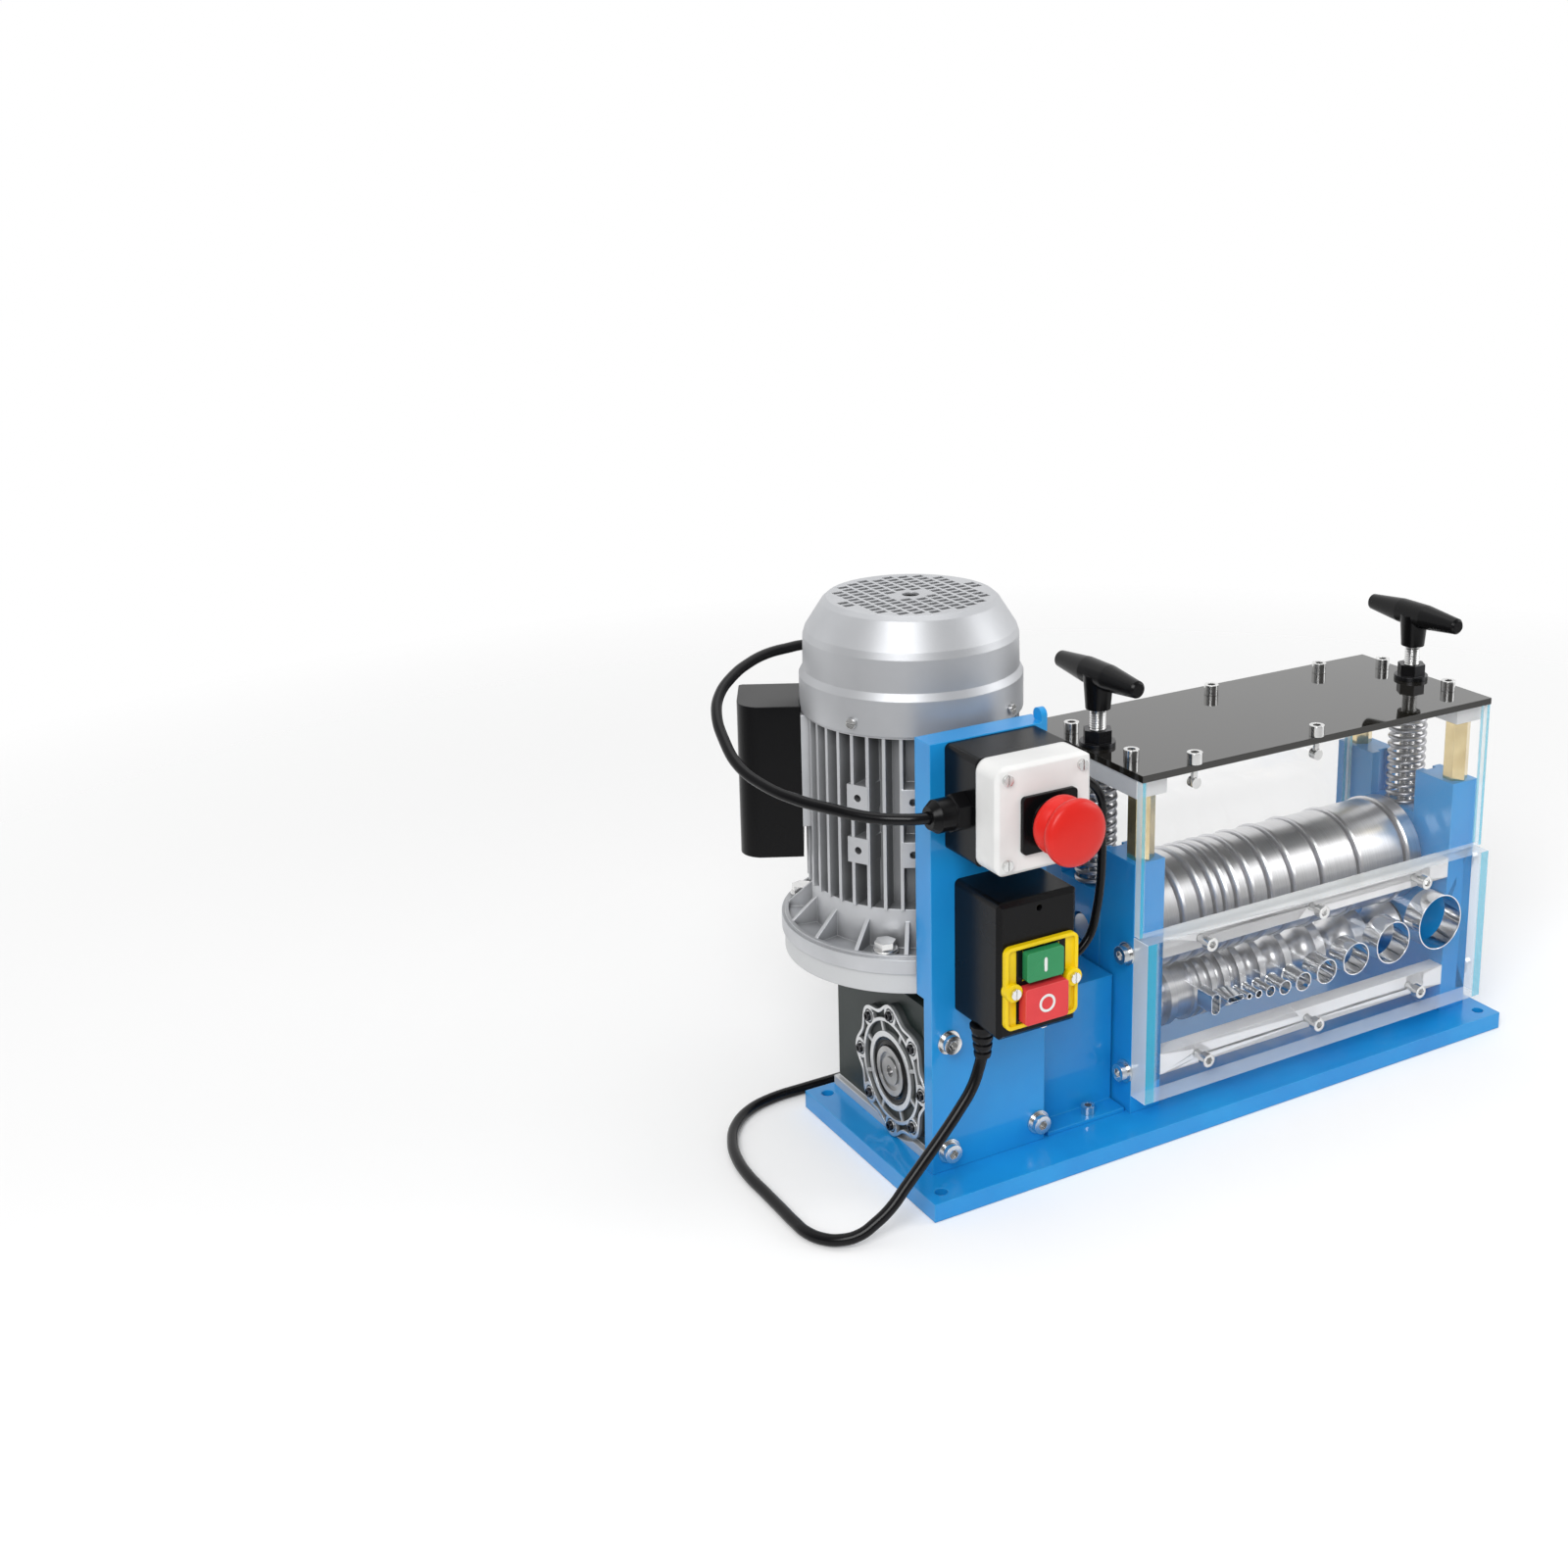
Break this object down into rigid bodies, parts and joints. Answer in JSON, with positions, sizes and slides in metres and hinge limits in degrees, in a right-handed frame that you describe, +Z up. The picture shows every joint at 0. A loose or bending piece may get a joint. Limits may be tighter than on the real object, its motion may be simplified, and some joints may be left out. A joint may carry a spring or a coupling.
{
  "type": "electric wire stripper",
  "caption": "Bench-top cable stripping machine: worm-geared motor turns a grooved feed roller under a spring-loaded blade roller behind a clear feed block.",
  "frame": {"origin": "centre of the base plate's four bench bolt holes, on its underside", "axes": "+X to the right along the rollers, +Y to the back, +Z up"},
  "size_m": [0.604, 0.3895, 0.386],
  "materials": {
    "blue_paint": "gloss paint",
    "aluminium": "satin cast and machined",
    "gear_case": "grey painted casting",
    "steel": "turned and polished",
    "chrome": "bright",
    "tool_steel": "hardened and ground",
    "brass": "bright drawn",
    "black_plastic": "fine texture",
    "black_cover": "satin black",
    "white_plastic": "smooth",
    "red_plastic": "smooth",
    "green_plastic": "smooth",
    "yellow_plastic": "smooth",
    "acrylic": "clear with cut edges",
    "cord_rubber": "smooth sheath",
    "winding": "wound and lacquered",
    "bronze": "machined"
  },
  "bodies": {
    "frame": {"base_plate": "blue_paint", "drive_bracket": "blue_paint", "coupling_guard": "blue_paint", "left_side_plate": "blue_paint", "right_side_plate": "blue_paint", "end_bridges": "aluminium", "brass_posts": "brass", "top_cover": "black_cover", "top_cover_screws": "steel", "front_sheet": "acrylic", "rear_sheet": "acrylic", "barrel_nuts": "steel", "feed_block": "acrylic", "feed_sleeves": "chrome", "tie_bars": "aluminium", "lower_bearings": "steel", "thread_nuts": "steel", "m8_bolts": "steel", "m6_screws": "steel", "small_screws": "steel", "gearbox_housing": "gear_case", "gearbox_cover": "aluminium", "motor_flange": "aluminium", "motor_body": "aluminium", "stator": "winding", "fan_cover": "aluminium", "terminal_box": "black_plastic", "capacitor_case": "black_plastic", "motor_lead": "cord_rubber", "lead_glands": "black_plastic", "estop_base": "black_plastic", "estop_cover": "white_plastic", "estop_collar": "black_plastic", "switch_box": "black_plastic", "switch_plate": "yellow_plastic", "switch_lead": "cord_rubber", "power_cord": "cord_rubber", "cord_coil": "cord_rubber", "cord_tie": "black_plastic", "plug": "black_plastic", "left_spring": "steel", "right_spring": "steel"},
    "drive": {"worm_wheel": "bronze", "drive_coupling": "steel", "lower_roller": "steel"},
    "motor_rotor": {"rotor": "steel", "fan": "black_plastic"},
    "carriage": {"left_bearing_block": "blue_paint", "right_bearing_block": "blue_paint", "upper_bearings": "steel"},
    "blade_roller": {"blade_shaft": "steel", "stripping_blades": "tool_steel"},
    "left_jack": {"left_screw": "steel", "left_handle": "black_plastic"},
    "right_jack": {"right_screw": "steel", "right_handle": "black_plastic"},
    "estop_plunger": {"estop_stem": "black_plastic"},
    "estop_knob": {"estop_head": "red_plastic"},
    "start_key": {"start_button": "green_plastic"},
    "stop_key": {"stop_button": "red_plastic"}
  },
  "joints": [
    {"name": "rotor_spin", "type": "hinge", "parent": "frame", "child": "motor_rotor", "pos_m": [-0.193, 0.047, 0.2], "axis": [0, 0, 1], "continuous": true},
    {"name": "roller_spin", "type": "hinge", "parent": "frame", "child": "drive", "pos_m": [0, 0.001, 0.063], "axis": [1, 0, 0], "continuous": true},
    {"name": "blade_lift", "type": "slide", "parent": "frame", "child": "carriage", "axis": [0, 0, 1], "range_m": [0, 0.026], "deforming": ["left_spring", "right_spring"]},
    {"name": "blade_spin", "type": "hinge", "parent": "carriage", "child": "blade_roller", "pos_m": [0, 0.001, 0.132], "axis": [1, 0, 0], "continuous": true},
    {"name": "left_jack_turn", "type": "hinge", "parent": "carriage", "child": "left_jack", "pos_m": [-0.068, 0.001, 0.28], "axis": [0, 0, 1], "range_deg": [0, 5360]},
    {"name": "right_jack_turn", "type": "hinge", "parent": "carriage", "child": "right_jack", "pos_m": [0.235, 0.001, 0.28], "axis": [0, 0, 1], "range_deg": [0, 5360]},
    {"name": "estop_push", "type": "slide", "parent": "frame", "child": "estop_plunger", "axis": [0, 1, 0], "range_m": [0, 0.005], "stiffness_N_per_m": 400, "springref_m": -0.003},
    {"name": "estop_twist", "type": "hinge", "parent": "estop_plunger", "child": "estop_knob", "pos_m": [-0.191, -0.14, 0.276], "axis": [0, 1, 0], "range_deg": [0, 45], "stiffness_Nm_per_rad": 0.05, "springref_deg": -11.46},
    {"name": "start_push", "type": "slide", "parent": "frame", "child": "start_key", "axis": [0, 1, 0], "range_m": [0, 0.003], "stiffness_N_per_m": 500, "springref_m": -0.002},
    {"name": "stop_push", "type": "slide", "parent": "frame", "child": "stop_key", "axis": [0, 1, 0], "range_m": [0, 0.003], "stiffness_N_per_m": 500, "springref_m": -0.002}
  ],
  "couplings": [
    {"joint": "roller_spin", "follows": "rotor_spin", "ratio": 0.04},
    {"joint": "left_jack_turn", "follows": "blade_lift", "rad_per_m": 3590.4},
    {"joint": "right_jack_turn", "follows": "blade_lift", "rad_per_m": 3590.4}
  ]
}
